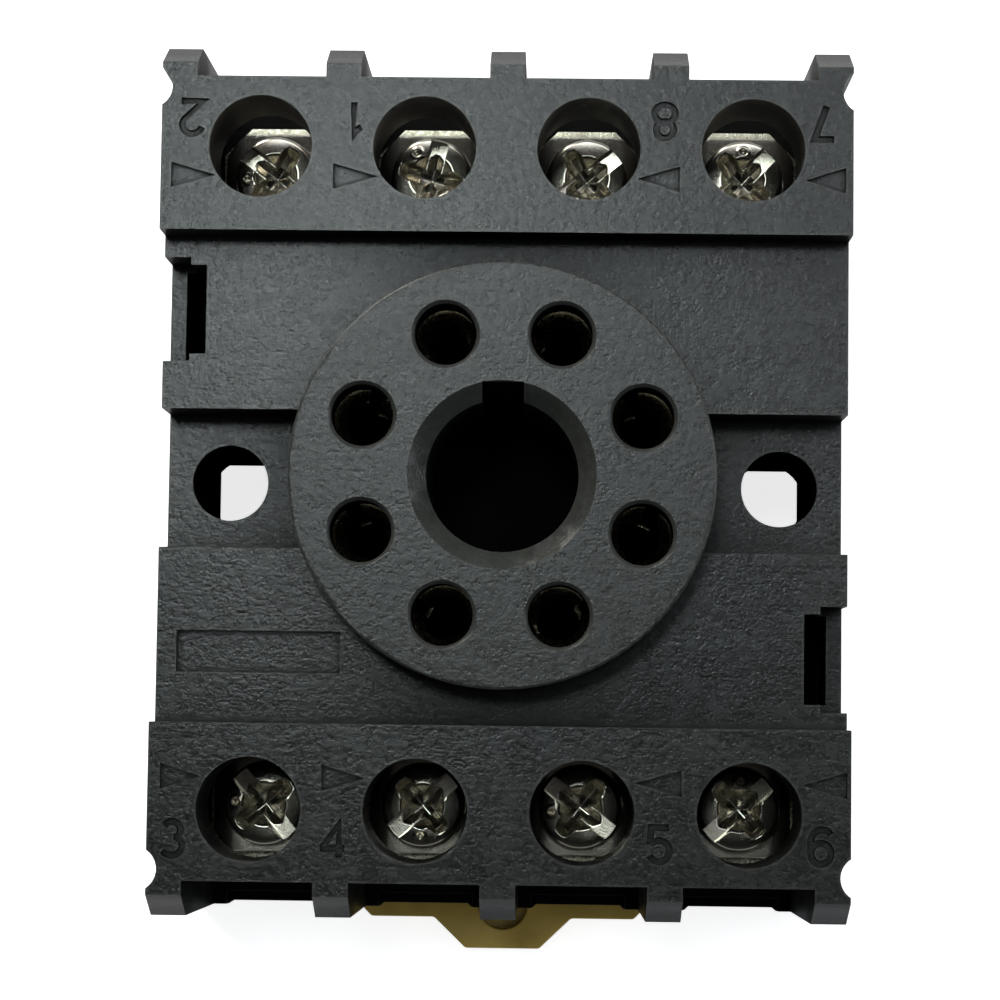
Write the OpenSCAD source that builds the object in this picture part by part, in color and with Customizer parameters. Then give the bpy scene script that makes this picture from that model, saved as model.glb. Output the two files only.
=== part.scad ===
/* [Housing] */
// Height of the relay disc's top face above the rear plane
disc_top = 24.5; // [24:0.1:26.5]
// Height of the two terminal blocks' front face
face_z = 22.4; // [21.8:0.1:23.6]
// Height of the shelves beside the relay disc
shelf_z = 19.8; // [19:0.1:20.8]
// Height of the low floor that holds the mounting holes
floor_z = 15.9; // [15:0.1:17.5]
// Diameter of the raised relay disc
disc_d = 24.6; // [24.2:0.1:26]
// Rounding of the relay disc's top edge
disc_round = 0.15; // [0.1:0.05:0.8]
// How far the front face's edge stands back from the ribs' ends
face_back = 2.4; // [1.8:0.05:2.8]
// Length of each terminal block, from the ribs' ends to its inner wall
block_deep = 11.5; // [11.2:0.05:12.2]
// Half the width of the low floor
floor_half = 4.1; // [3.2:0.1:5.5]
// Wall between the low parts of the housing and its side
side_wall = 2.05; // [1.6:0.05:2.2]

/* [End ribs] */
// Thickness of each rib between the terminals
rib_t = 2.05; // [1.6:0.05:2.4]
// Distance from the centre to the ribs' ends where they meet the base
rib_reach = 25.85; // [25.6:0.05:26.6]
// How far the ribs' nose stands back at the front face
nose_back = 1.6; // [1.2:0.05:1.8]
// Depth of the sloped nose below the front face
rib_nose_depth = 2.6; // [1.5:0.1:4]
// Draft of the rib's end below its nose, over its whole height
rib_draft = 0.25; // [0.1:0.05:0.4]
// Radius of the groove at each corner of the housing
corner_groove_r = 1.3; // [1:0.05:1.6]
// Depth of the groove at each corner
corner_groove_depth = 0.6; // [0.3:0.05:0.9]
// How far each corner groove stands back from the ribs' ends
corner_groove_back = 3.05; // [2.6:0.05:3.5]

/* [Terminals] */
// Distance between neighbouring terminals
bay_pitch = 9.6; // [9.5:0.05:10.2]
// How far the terminal screws stand back from the ribs' ends
screw_back = 6.55; // [6.3:0.05:6.8]
// Diameter of the holes that the screwdriver passes through
access_d = 6.04; // [5.9:0.02:6.6]
// Thickness of the front wall over each terminal
front_wall = 6; // [5:0.1:6.4]
// Length of each wire bay, from the ribs' ends to its inner wall
bay_deep = 10.35; // [10.1:0.05:10.9]

/* [Relay socket] */
// Pitch circle of the eight contact holes
pin_pcd = 17.45; // [17.3:0.05:17.6]
// Diameter of each contact hole
pin_hole_d = 3.56; // [3.4:0.02:3.8]
// Thickness of the disc's roof over the contacts
pin_roof = 3; // [2.4:0.1:3.4]
// Diameter of the pocket round each contact
pin_pocket_d = 4.7; // [4.6:0.05:5]
// Diameter of the centre bore for the relay's key post
key_bore_d = 8.8; // [8.2:0.05:9]
// Width of the bore's countersink
key_lead_in = 1.03; // [0.6:0.01:1.2]
// Width of the key slot
key_slot_w = 2.4; // [2:0.1:2.6]
// How far the key slot reaches past the bore's wall
key_slot_deep = 0.95; // [0.6:0.05:1.05]
// Width of the bevel round each contact hole
pin_lead_in = 0.2; // [0.1:0.05:0.3]

/* [Mounting] */
// Distance between the two panel screw holes
mount_pitch = 33; // [32.6:0.1:33.2]
// Diameter of the panel screw holes
mount_d = 4.55; // [4.2:0.05:4.7]
// Side of the square openings through the base under the screw holes
mount_square = 4.8; // [4.75:0.05:5]
// Wall round each panel screw hole where it crosses the wiring space
mount_wall = 1.6; // [1.2:0.1:1.9]
// Least wall between the square openings and the base's sides
mount_edge = 1.3; // [0.8:0.05:1.3]
// Width of the rail that the base clips on
rail_w = 35; // [34.9:0.1:35.2]
// Thickness of the rail's flanges
rail_t = 1; // [0.9:0.05:1.2]
// Height of the seat for the rail above the rear plane
rail_seat_z = 3.6; // [3.5:0.1:3.9]
// Half the width of the pad between the rail's flanges
pad_half = 12.2; // [11.5:0.1:12.4]
// Clearance round the rail's flanges
rail_gap = 0.15; // [0.1:0.05:0.25]
// Height of the slanted lead-in at each fixed hook's tip
hook_lead = 0.8; // [0.4:0.05:1.2]
// How far each fixed hook reaches behind the rail
hook_reach = 1.3; // [0.9:0.1:1.8]
// Width of each fixed hook
hook_w = 9; // [6:0.5:11]
// Distance of the fixed hooks from the centre line
hook_x = 10.8; // [9:0.1:12]

/* [Base] */
// Thickness of the base slab under the housing
base_t = 5.7; // [5.4:0.1:6]
// Clearance between the base's plateau and the housing
plateau_gap = 0.15; // [0.1:0.05:0.3]
// Depth of the shallow step in the ledge under each wire bay
ledge_step = 0.4; // [0.2:0.05:0.8]
// Width of that step
ledge_step_w = 5.9; // [4:0.1:6.4]
// Width of that step's floor, from its inner edge to the end
ledge_step_l = 0.85; // [0.5:0.05:1.2]
// Depth of the shallow notch in the base's end between the ribs
end_notch = 0.23; // [0.1:0.01:0.4]
// Width of the flat left beside each rib at the end notch
end_notch_flat = 0.9; // [0.6:0.05:1.4]
// How far the snap catches reach into the housing's side
catch_reach = 0.9; // [0.5:0.05:1.4]
// Length of each snap catch
catch_l = 5; // [3:0.5:6]
// Distance of the snap catches from the centre line
catch_y = 9.5; // [8:0.1:10.5]
// Play round each snap catch in its window
catch_play = 0.2; // [0.1:0.05:0.4]

/* [Clip slots] */
// Width of the deep slot for the relay's hold-down clip
clip_slot_w = 1.6; // [0.8:0.05:1.7]
// Length of the deep slot
clip_slot_l = 5.3; // [4:0.1:6]
// Distance from the centre line to the deep slot's inner wall
clip_slot_x = 17.7; // [17.4:0.05:17.9]
// Distance of the slots' middle from the centre
clip_slot_y = 10.13; // [9.4:0.01:10.6]
// How far both slots sit towards the lower end
clip_slot_shift = 0.13; // [0:0.01:0.3]
// Depth of the deep slot below the shelf
clip_slot_deep = 8.2; // [6:0.1:8.6]
// Length of the open notch beside the slot
clip_notch_l = 6.2; // [6:0.1:7]
// Depth of the open notch below the shelf
clip_notch_deep = 3.4; // [2:0.1:5]
// How far the notch reaches in over the slot
clip_notch_over = 0.95; // [0.4:0.05:1.2]

/* [Name recess] */
// Length of the bare name recess
name_l = 9.6; // [6:0.1:10]
// Width of the bare name recess
name_w = 2.45; // [1.5:0.05:2.6]
// Depth of the bare name recess
name_deep = 0.3; // [0.1:0.05:0.5]
// Distance of the recess's middle left of the centre line
name_x = 14.25; // [13.5:0.05:14.6]
// Distance of the recess's middle below the centre
name_y = 10.2; // [9.8:0.05:10.8]

/* [Contacts] */
// Thickness of the contact strip
strip_t = 1; // [0.8:0.05:1.1]
// Height of the contact strip's underside
strip_z = 9; // [8.8:0.05:9.4]
// Width of the strip between terminal and receptacle
strip_w = 3; // [2.4:0.1:3.6]
// Width of the terminal plate
plate_w = 7; // [6.4:0.05:7.2]
// Distance from the screw to the plate's outer edge
plate_out = 3.5; // [3.2:0.05:3.7]
// Distance from the screw to the plate's inner edge
plate_back = 3.4; // [3:0.05:3.5]
// Corner cut of the plate's outer edge
plate_corner = 1.7; // [1:0.1:2.2]
// Inner diameter of the receptacle
socket_in_d = 2.6; // [2.5:0.02:2.7]
// Wall of the receptacle
socket_wall = 0.35; // [0.3:0.05:0.45]
// Flare of the receptacle's mouth
socket_flare = 0.5; // [0.1:0.05:0.5]
// Height of the flared mouth
socket_flare_h = 0.9; // [0.5:0.1:1.5]
// Width of the slits that split the receptacle
socket_slit = 0.8; // [0.5:0.05:1.2]
// Clearance between the receptacle's mouth and the roof
socket_gap = 0.3; // [0.2:0.05:0.5]

/* [Clamp washers] */
// Thickness of each clamp washer at its hole
washer_t = 0.95; // [0.7:0.05:1.1]
// Width of the flat seat for the screw's head
washer_seat_d = 5.2; // [4.6:0.1:5.6]
// How far the washer's top falls from that seat to its corners
washer_fall = 0.4; // [0.1:0.05:0.5]
// Size of the washer across the bay
washer_w = 6.6; // [6.2:0.05:7]
// Size of the washer along the bay
washer_l = 5.95; // [5.6:0.05:6.2]
// Diameter of the circle that rounds the washer's corners
washer_round_d = 6.8; // [6.7:0.05:7.6]
// Diameter of the washer's hole
washer_hole_d = 3.9; // [3.7:0.02:4.1]

/* [Terminal screws] */
// Thread's nominal diameter
thread_d = 3.5; // [3.4:0.02:3.6]
// Radial clearance between thread and plate
thread_gap = 0.05; // [0.02:0.01:0.09]
// Length of the screw below its head
shank_l = 6; // [5:0.1:6.4]
// Diameter of the screw head
head_d = 5.6; // [5.4:0.02:5.8]
// Height of the screw head
head_h = 2.3; // [2:0.05:2.5]
// Height of the head's straight rim
head_rim = 0.9; // [0.5:0.05:1.2]
// Width of the driver slot
slot_w = 1; // [0.7:0.05:1.2]
// Depth of the driver slot
slot_deep = 1.15; // [0.8:0.05:1.4]
// Length of the cross recess, tip to tip
cross_l = 3.9; // [3:0.1:4.4]
// Width of the cross recess's wings
cross_w = 0.9; // [0.5:0.05:1]
// Depth of the cross recess
cross_deep = 1.6; // [1:0.05:1.8]

/* [Rail latch] */
// Thickness of the latch
latch_t = 1.65; // [1.4:0.05:1.7]
// Half the width of the latch's body
latch_half = 8.2; // [7.8:0.05:8.4]
// Sideways clearance of the latch in its channel
latch_gap = 0.15; // [0.1:0.05:0.3]
// Play of the latch in the channel's height
latch_play = 0.1; // [0.05:0.01:0.2]
// Half the width of the bar across the latch's outer end
latch_bar_half = 8.9; // [8.6:0.05:9.4]
// Thickness of that bar
latch_bar_l = 0.85; // [0.6:0.05:1.2]
// Corner cut of that bar
latch_bar_corner = 0.5; // [0.3:0.05:0.6]
// Half the width of the pull tab where it leaves the bar
latch_tab_root = 4.4; // [4:0.1:5]
// Half the width of the pull tab's end
latch_tab_end = 2.36; // [1.8:0.02:3]
// Length of the pull tab past the bar
latch_tab_l = 1.95; // [1.5:0.05:3]
// Half the width of the nose that grips the rail
latch_nose_half = 6; // [4:0.1:6.4]
// How far the nose reaches behind the rail's flange
latch_grip = 1.2; // [0.8:0.05:1.5]
// Radius of the round recess at the tab's root
latch_recess_r = 1.6; // [1.2:0.05:1.8]
// Depth of that recess
latch_recess_deep = 0.8; // [0.4:0.05:1]
// Width of each spring leg
leg_w = 1; // [0.7:0.05:1.2]
// Width of the cut beside each spring leg
leg_cut = 1.2; // [0.9:0.05:1.4]
// How far the bump at each leg's tip stands out
leg_bump = 0.7; // [0.4:0.05:0.8]
// Length of that bump along the leg
leg_bump_l = 1.6; // [1.2:0.1:2]
// Gap between each leg's tip and the rail's edge
leg_tip_gap = 0.45; // [0.3:0.05:0.8]
// Length of each leg's root at the latch's outer end
leg_root = 2; // [1.5:0.1:2.5]
// How far the bump starts up its ramp before the latch is fully out
ramp_lead = 0.4; // [0.2:0.05:0.6]
// Share of the latch's thickness left square at the tip of its nose
nose_square = 0.33; // [0.2:0.01:0.5]
// How far the latch pulls out to free the rail
latch_travel = 2; // [1.5:0.1:2.2]
// Width of the channel's open slot at the rear
latch_slot_half = 6.3; // [5:0.1:7]

/* [Hidden] */
$fn = 64;
cut = 1;                     // how far a cutting shape runs past the face that it cuts
terminals_a_row = 4;
contacts = 8;
face_reach = rib_reach - face_back;
block_in = rib_reach - block_deep;
rib_nose = rib_reach - nose_back;
corner_groove_y = rib_reach - corner_groove_back;
screw_y = rib_reach - screw_back;
bay_in = rib_reach - bay_deep;
body_w = max(terminals_a_row * bay_pitch + rib_t, mount_pitch + mount_square + 2 * mount_edge);
bay_w = bay_pitch - rib_t;
bay_top = face_z - front_wall;
strip_top = strip_z + strip_t;
strip_gap = 0.15;            // air over the contact strips under the housing
wiring_top = strip_top + strip_gap;
wiring_half = body_w / 2 - side_wall;
pin_roof_z = disc_top - pin_roof;
pin_step = 360 / contacts;
first_pin = 90 + pin_step / 2;
washer_top = strip_top + washer_t;
shank_d = thread_d;
tapped_d = thread_d + 2 * thread_gap;
tip_gap = 0.3;               // air round each screw's end in the base
screw_turn = [76, -37, -50, 42, -38, 42, 45, 38];   // how far each screw happens to be turned
rail_edge = rail_w / 2 + rail_gap;
hook_top = rail_seat_z - rail_t - rail_gap;
latch_top = hook_top;
latch_low = latch_top - latch_t;
leg_tip = rail_w / 2 + leg_tip_gap;
ramp_start = leg_tip + leg_bump_l + latch_travel - ramp_lead;
catch_h = (strip_z - base_t) / 2;

housing_black = [0.13, 0.14, 0.14];
base_black = [0.11, 0.12, 0.12];
latch_olive = [0.45, 0.38, 0.18];
plated_brass = [0.75, 0.72, 0.6];
plated_steel = [0.7, 0.7, 0.68];

// Contacts are numbered the way a relay's pins are, counter-clockwise from the key.
function pin_angle(k) = first_pin + (k - 1) * pin_step;
function pin_pos(k) = [cos(pin_angle(k)), sin(pin_angle(k))] * pin_pcd / 2;
function is_inner(k) = abs(pin_pos(k).x) < abs(pin_pos(k).y);
function terminal_pos(k) = [
    sign(pin_pos(k).x) * bay_pitch * (is_inner(k) ? 0.5 : 1.5),
    sign(pin_pos(k).y) * screw_y
];

module box(x0, x1, y0, y1, z0, z1) {
    translate([x0, y0, z0]) cube([x1 - x0, y1 - y0, z1 - z0]);
}

// A profile drawn in Y and Z, extruded along X between x0 and x1.
module along_x(x0, x1) {
    translate([x0, 0, 0]) rotate([90, 0, 90]) linear_extrude(x1 - x0) children();
}

module at_each_bay() {
    for (end = [-1, 1], i = [0 : terminals_a_row - 1])
        translate([(i - (terminals_a_row - 1) / 2) * bay_pitch, 0, 0])
            facing(end) children();
}

// Mirrors its children to the lower end of the socket where end is -1.
module facing(end) {
    if (end > 0) children();
    else mirror([0, 1, 0]) children();
}

// ---------------------------------------------------------------- housing

module housing_profile() {
    polygon([
        [-face_reach, base_t], [face_reach, base_t], [face_reach, face_z], [block_in, face_z],
        [block_in, shelf_z], [floor_half, shelf_z], [floor_half, floor_z], [-floor_half, floor_z],
        [-floor_half, shelf_z], [-block_in, shelf_z], [-block_in, face_z], [-face_reach, face_z]
    ]);
}

module rib_profile() {
    polygon([
        [bay_in, base_t], [rib_reach, base_t], [rib_reach - rib_draft, face_z - rib_nose_depth],
        [rib_nose, face_z], [bay_in, face_z]
    ]);
}

module ribs() {
    for (i = [0 : terminals_a_row]) {
        x = (i - terminals_a_row / 2) * bay_pitch;
        along_x(x - rib_t / 2, x + rib_t / 2) rib_profile();
        mirror([0, 1, 0]) along_x(x - rib_t / 2, x + rib_t / 2) rib_profile();
    }
}

module relay_disc() {
    r = disc_d / 2;
    rotate_extrude($fn = 128) {
        difference() {
            translate([0, base_t]) square([r, disc_top - base_t]);
            translate([r - disc_round, disc_top - disc_round]) square(disc_round + cut);
        }
        translate([r - disc_round, disc_top - disc_round]) intersection() {
            circle(disc_round);
            square(disc_round);
        }
    }
}

// The bore runs through the housing, and the base's plateau closes it below.
module key_bore() {
    r = key_bore_d / 2;
    rotate_extrude($fn = 96) polygon([
        [0, base_t], [r, base_t], [r, disc_top - key_lead_in], [r + key_lead_in, disc_top],
        [r + key_lead_in, disc_top + cut], [0, disc_top + cut]
    ]);
    box(-key_slot_w / 2, key_slot_w / 2, 0, r + key_slot_deep, base_t, disc_top + cut);
}

module pin_holes() {
    for (k = [1 : contacts]) translate(pin_pos(k)) {
        cylinder(h = disc_top + cut, d = pin_hole_d);
        translate([0, 0, disc_top - pin_lead_in])
            cylinder(h = pin_lead_in, d1 = pin_hole_d, d2 = pin_hole_d + 2 * pin_lead_in);
        cylinder(h = pin_roof_z, d = pin_pocket_d);
    }
}

module mount_holes() {
    for (side = [-1, 1]) translate([side * mount_pitch / 2, 0, 0])
        cylinder(h = disc_top, d = mount_d);
}

// Space for the contact strips, left open under the housing and closed by the base.
module wiring_space() {
    boss = mount_d / 2 + mount_wall;
    difference() {
        box(-wiring_half, wiring_half, -bay_in - cut, bay_in + cut, base_t - cut, wiring_top);
        for (side = [-1, 1]) {
            x = side * mount_pitch / 2;
            translate([x, 0, 0]) cylinder(h = disc_top, r = boss);
            box(min(x, side * body_w / 2), max(x, side * body_w / 2), -boss, boss, 0, disc_top);
        }
    }
}

module wire_bay() {
    box(-bay_w / 2, bay_w / 2, bay_in, rib_reach + cut, base_t - cut, bay_top);
    translate([0, screw_y, bay_top - cut]) cylinder(h = front_wall + 2 * cut, d = access_d);
}

module corner_grooves() {
    for (side = [-1, 1], end = [-1, 1])
        translate([side * (body_w / 2 + corner_groove_r - corner_groove_depth), end * corner_groove_y, 0])
            cylinder(h = disc_top, r = corner_groove_r);
}

module clip_slot(middle) {
    floor_at = shelf_z - clip_slot_deep;
    box(-clip_slot_x - clip_slot_w, -clip_slot_x, middle - clip_slot_l / 2,
        middle + clip_slot_l / 2, floor_at, shelf_z + cut);
    box(-body_w / 2 - cut, -clip_slot_x - clip_notch_over, middle - clip_notch_l / 2,
        middle + clip_notch_l / 2, shelf_z - clip_notch_deep, shelf_z + cut);
}

module name_recess() {
    translate([-name_x - name_l / 2, -name_y - name_w / 2, shelf_z - name_deep])
        cube([name_l, name_w, name_deep + cut]);
}

module catch_windows() {
    for (side = [-1, 1], end = [-1, 1])
        translate([side * body_w / 2, end * catch_y, (base_t + strip_z) / 2 + catch_play])
            cube([2 * side_wall + cut, catch_l + 2 * catch_play, catch_h + 2 * catch_play],
                 center = true);
}

module housing() {
    color(housing_black) difference() {
        union() {
            along_x(-body_w / 2, body_w / 2) housing_profile();
            ribs();
            relay_disc();
        }
        at_each_bay() wire_bay();
        wiring_space();
        key_bore();
        pin_holes();
        mount_holes();
        corner_grooves();
        clip_slot(clip_slot_y - clip_slot_shift);
        rotate(180) clip_slot(clip_slot_y + clip_slot_shift);
        name_recess();
        catch_windows();
    }
}

// ------------------------------------------------------------------- base

// Outline of the slab, with the shallow notches between the ribs at both ends.
module base_outline() {
    difference() {
        square([body_w, 2 * rib_reach], center = true);
        at_each_bay() translate([0, rib_reach]) {
            half = bay_w / 2 - end_notch_flat;
            polygon([
                [-half, 0], [-half + end_notch, -end_notch], [half - end_notch, -end_notch],
                [half, 0], [half, cut], [-half, cut]
            ]);
        }
    }
}

module ledge_steps() {
    at_each_bay()
        box(-ledge_step_w / 2, ledge_step_w / 2, rib_reach - ledge_step_l, rib_reach + cut,
            base_t - ledge_step, base_t + cut);
}

// Plateau that the contact strips lie on, with a finger under each terminal plate.
module plateau() {
    half = wiring_half - plateau_gap;
    boss = mount_d / 2 + mount_wall + plateau_gap;
    difference() {
        union() {
            box(-half, half, -bay_in + plateau_gap, bay_in - plateau_gap, base_t - cut, strip_z);
            at_each_bay()
                box(-bay_w / 2 + plateau_gap, bay_w / 2 - plateau_gap, bay_in - cut,
                    screw_y + plate_out, base_t - cut, strip_z);
            snap_catches();
        }
        for (side = [-1, 1]) {
            x = side * mount_pitch / 2;
            edge = side * body_w / 2;
            translate([x, 0, base_t]) cylinder(h = strip_z, r = boss);
            box(min(x, edge), max(x, edge), -boss, boss, base_t, strip_z + cut);
        }
    }
}

module snap_catches() {
    low = (base_t + strip_z) / 2 - catch_h / 2 + catch_play;
    face = wiring_half - plateau_gap;
    for (side = [-1, 1], end = [-1, 1])
        translate([side * face, end * catch_y + catch_l / 2, low])
            rotate([90, 0, 0]) linear_extrude(catch_l) polygon([
                [-side * cut, 0], [side * (catch_reach + plateau_gap), 0],
                [side * plateau_gap, catch_h], [-side * cut, catch_h]
            ]);
}

module rail_grooves() {
    box(-body_w, body_w, -rail_edge, -pad_half, -cut, rail_seat_z);
    box(-body_w, body_w, pad_half, rail_edge, -cut, rail_seat_z);
}

// Fixed hooks on the upper side of the rail, with a slanted lead-in.
module rail_hooks() {
    for (side = [-1, 1])
        along_x(side * hook_x - hook_w / 2, side * hook_x + hook_w / 2) polygon([
            [rail_edge + cut, 0], [rail_edge, 0], [rail_edge - hook_reach, hook_lead],
            [rail_edge - hook_reach, hook_top], [rail_edge + cut, hook_top]
        ]);
}

// Channel of the rail latch, cut through the base's lower end block.
module latch_channel() {
    wide = latch_half + leg_bump + latch_gap;
    narrow = latch_half + latch_gap;
    translate([0, 0, latch_low - latch_play]) linear_extrude(latch_t + 2 * latch_play) polygon([
        [-wide, -rail_edge + cut], [-wide, -ramp_start], [-narrow, -ramp_start - leg_bump],
        [-narrow, -rib_reach - cut], [narrow, -rib_reach - cut], [narrow, -ramp_start - leg_bump],
        [wide, -ramp_start], [wide, -rail_edge + cut]
    ]);
    box(-latch_slot_half, latch_slot_half, -rib_reach - cut, -rail_edge + cut, -cut, latch_low);
}

module screw_pockets() {
    at_each_bay() translate([0, screw_y, washer_top - shank_l - tip_gap])
        cylinder(h = strip_z, d = shank_d + 2 * tip_gap);
}

module base() {
    color(base_black) difference() {
        union() {
            difference() {
                linear_extrude(base_t) base_outline();
                rail_grooves();
            }
            rail_hooks();
            plateau();
        }
        ledge_steps();
        screw_pockets();
        latch_channel();
        for (side = [-1, 1]) translate([side * mount_pitch / 2, 0, 0])
            cube([mount_square, mount_square, 4 * base_t], center = true);
    }
}

// ------------------------------------------------------------- rail latch

module latch_outline() {
    root = rib_reach - leg_root;
    slot_out = latch_half - leg_w;
    slot_in = slot_out - leg_cut;
    polygon([
        // pull tab and bar
        [-latch_tab_end, -rib_reach - latch_bar_l - latch_tab_l],
        [latch_tab_end, -rib_reach - latch_bar_l - latch_tab_l],
        [latch_tab_root, -rib_reach - latch_bar_l],
        [latch_bar_half - latch_bar_corner, -rib_reach - latch_bar_l],
        [latch_bar_half, -rib_reach - latch_bar_l + latch_bar_corner],
        [latch_bar_half, -rib_reach], [latch_half, -rib_reach],
        // right spring leg
        [latch_half, -leg_tip - leg_bump_l], [latch_half + leg_bump, -leg_tip - leg_bump_l / 2],
        [latch_half + leg_bump, -leg_tip - leg_bump_l / 4], [latch_half, -leg_tip],
        [slot_out, -leg_tip], [slot_out, -root], [slot_in, -root],
        // nose that grips the rail
        [slot_in, -leg_tip], [latch_nose_half, -leg_tip], [latch_nose_half, -rail_w / 2 + latch_grip],
        [-latch_nose_half, -rail_w / 2 + latch_grip], [-latch_nose_half, -leg_tip], [-slot_in, -leg_tip],
        // left spring leg
        [-slot_in, -root], [-slot_out, -root], [-slot_out, -leg_tip], [-latch_half, -leg_tip],
        [-latch_half - leg_bump, -leg_tip - leg_bump_l / 4],
        [-latch_half - leg_bump, -leg_tip - leg_bump_l / 2], [-latch_half, -leg_tip - leg_bump_l],
        [-latch_half, -rib_reach], [-latch_bar_half, -rib_reach],
        [-latch_bar_half, -rib_reach - latch_bar_l + latch_bar_corner],
        [-latch_bar_half + latch_bar_corner, -rib_reach - latch_bar_l],
        [-latch_tab_root, -rib_reach - latch_bar_l]
    ]);
}

module rail_latch() {
    nose = -rail_w / 2 + latch_grip;
    color(latch_olive) difference() {
        translate([0, 0, latch_low]) linear_extrude(latch_t) latch_outline();
        translate([0, -rib_reach, latch_top - latch_recess_deep])
            cylinder(h = latch_recess_deep + cut, r = latch_recess_r);
        // the nose is bevelled at the rear, so that it rides over the rail's edge
        along_x(-latch_nose_half - cut, latch_nose_half + cut) polygon([
            [nose + cut, latch_low - cut], [nose - latch_grip, latch_low - cut],
            [nose - latch_grip, latch_low], [nose, latch_top - nose_square * latch_t],
            [nose + cut, latch_top - nose_square * latch_t]
        ]);
    }
}

// --------------------------------------------------------------- contacts

module plate_outline() {
    polygon([
        [-plate_w / 2, -plate_back], [plate_w / 2, -plate_back],
        [plate_w / 2, plate_out - plate_corner], [plate_w / 2 - plate_corner, plate_out],
        [plate_corner - plate_w / 2, plate_out], [-plate_w / 2, plate_out - plate_corner]
    ]);
}

module receptacle() {
    r = socket_in_d / 2;
    top = pin_roof_z - socket_gap;
    difference() {
        rotate_extrude() polygon([
            [r, strip_z], [r + socket_wall, strip_z], [r + socket_wall, top - socket_flare_h],
            [r + socket_wall + socket_flare, top], [r + socket_flare, top],
            [r, top - socket_flare_h]
        ]);
        translate([0, 0, strip_top + r + top / 2])
            cube([socket_slit, pin_pocket_d, top], center = true);
    }
}

module contact(k) {
    pin = pin_pos(k);
    terminal = terminal_pos(k);
    end = sign(terminal.y);
    start = [terminal.x, terminal.y - end * (plate_back - strip_w / 2)];
    run = pin - start;
    color(plated_brass) {
        difference() {
            translate([0, 0, strip_z]) linear_extrude(strip_t) {
                translate(terminal) facing(end) plate_outline();
                translate(start) rotate(atan2(run.y, run.x)) translate([0, -strip_w / 2])
                    square([norm(run), strip_w]);
                translate(start) circle(d = strip_w);
                translate(pin) circle(d = strip_w + socket_wall);
            }
            translate([terminal.x, terminal.y, strip_z - cut])
                cylinder(h = strip_t + 2 * cut, d = tapped_d);
            translate([pin.x, pin.y, strip_z - cut]) cylinder(h = strip_t + 2 * cut, d = socket_in_d);
        }
        translate(pin) rotate(pin_angle(k)) receptacle();
    }
}

// --------------------------------------------------- clamp washers, screws

// The washer is flat under the screw's head and slopes down to its corners.
module washer_profile() {
    polygon([
        [0, 0], [washer_round_d / 2, 0], [washer_round_d / 2, washer_t - washer_fall],
        [washer_seat_d / 2, washer_t], [0, washer_t]
    ]);
}

module clamp_washer(k) {
    color(plated_steel) translate([terminal_pos(k).x, terminal_pos(k).y, strip_top])
        difference() {
            intersection() {
                rotate_extrude($fn = 96) washer_profile();
                translate([-washer_w / 2, -washer_l / 2, 0]) cube([washer_w, washer_l, washer_t]);
            }
            translate([0, 0, -cut]) cylinder(h = washer_t + 2 * cut, d = washer_hole_d);
        }
}

// The pan head's dome is an arc through its rim and its middle.
module head_profile() {
    rise = head_h - head_rim;
    half = head_d / 2;
    arc_r = (half * half + rise * rise) / (2 * rise);
    intersection() {
        square([half, head_h]);
        union() {
            square([half, head_rim]);
            translate([0, head_h - arc_r]) circle(r = arc_r, $fn = 160);
        }
    }
}

module terminal_screw(k) {
    color(plated_steel)
        translate([terminal_pos(k).x, terminal_pos(k).y, washer_top])
        rotate(screw_turn[k - 1]) difference() {
            union() {
                rotate_extrude() head_profile();
                translate([0, 0, -shank_l]) cylinder(h = shank_l + head_rim, d = shank_d);
            }
            translate([-head_d, -slot_w / 2, head_h - slot_deep]) cube([2 * head_d, slot_w, head_h]);
            for (turn = [0, 90]) rotate(turn)
                translate([-cross_l / 2, -cross_w / 2, head_h - cross_deep])
                    cube([cross_l, cross_w, head_h]);
        }
}

housing();
base();
rail_latch();
for (k = [1 : contacts]) {
    contact(k);
    clamp_washer(k);
    terminal_screw(k);
}
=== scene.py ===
import math

import bmesh
import bpy
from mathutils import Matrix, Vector


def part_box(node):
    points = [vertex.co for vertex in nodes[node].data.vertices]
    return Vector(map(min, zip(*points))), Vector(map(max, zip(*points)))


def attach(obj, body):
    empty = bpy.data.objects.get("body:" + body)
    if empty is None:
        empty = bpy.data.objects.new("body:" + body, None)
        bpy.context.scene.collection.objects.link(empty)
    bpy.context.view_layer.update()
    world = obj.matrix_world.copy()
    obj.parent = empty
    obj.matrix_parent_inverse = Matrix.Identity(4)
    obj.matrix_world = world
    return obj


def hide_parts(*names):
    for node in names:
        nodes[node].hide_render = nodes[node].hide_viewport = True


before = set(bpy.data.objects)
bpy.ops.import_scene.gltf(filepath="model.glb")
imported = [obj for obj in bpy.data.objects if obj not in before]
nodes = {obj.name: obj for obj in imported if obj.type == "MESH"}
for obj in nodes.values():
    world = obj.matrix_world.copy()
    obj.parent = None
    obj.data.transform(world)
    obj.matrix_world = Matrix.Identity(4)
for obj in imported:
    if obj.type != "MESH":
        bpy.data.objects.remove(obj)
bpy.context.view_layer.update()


# ---------------------------------------------------------------- table, camera and light
# The socket lies on its back on a plain white table top and is seen from above,
# with its key slot away from the viewer. A broad soft panel hangs over its upper
# end, a window stands beyond that end to the left, and a small lamp adds a glare.

scene = bpy.context.scene
scene.view_settings.view_transform = "Standard"


def linear(code):
    """A colour's sRGB hex code as the linear RGBA that shaders take."""
    parts = [int(code[i:i + 2], 16) / 255 for i in (1, 3, 5)]
    return [p / 12.92 if p <= 0.04045 else ((p + 0.055) / 1.055) ** 2.4 for p in parts] + [1.0]


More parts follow.
